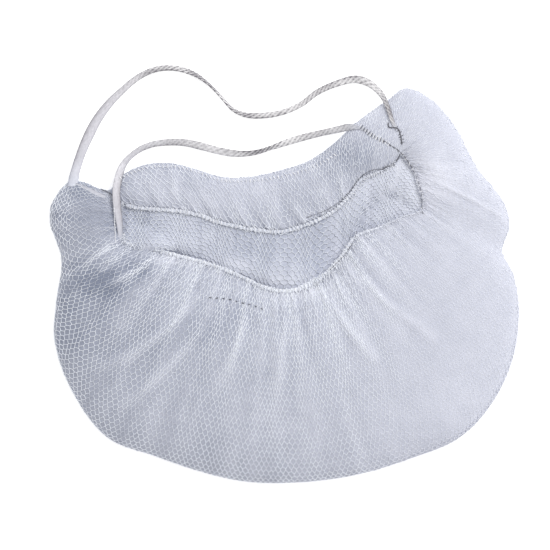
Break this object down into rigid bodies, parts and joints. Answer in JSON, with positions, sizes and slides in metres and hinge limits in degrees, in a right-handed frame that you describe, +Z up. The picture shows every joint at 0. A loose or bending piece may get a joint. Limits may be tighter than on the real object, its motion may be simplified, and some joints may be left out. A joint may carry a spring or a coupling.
{
  "type": "disposable beard net",
  "caption": "Disposable honeycomb-net beard cover lying flat, a gathered pouch with an open mouth and elastic loops.",
  "frame": {"origin": "on the table under the middle of the laid pouch, with the free loops left out", "axes": "+X to the right of the laid net, +Y to its far side where the free loops lie, +Z up"},
  "size_m": [0.2812, 0.2508, 0.026],
  "materials": {
    "net": "matte",
    "hem": "matte",
    "elastic": "matte",
    "stitching": "matte"
  },
  "bodies": {
    "root": {"net_pouch": "net", "near_rim_elastic": "hem", "far_rim_elastic": "hem", "lobe_edge_elastic": "elastic", "near_ear_loop": "elastic", "far_ear_loop": "elastic"}
  },
  "joints": []
}
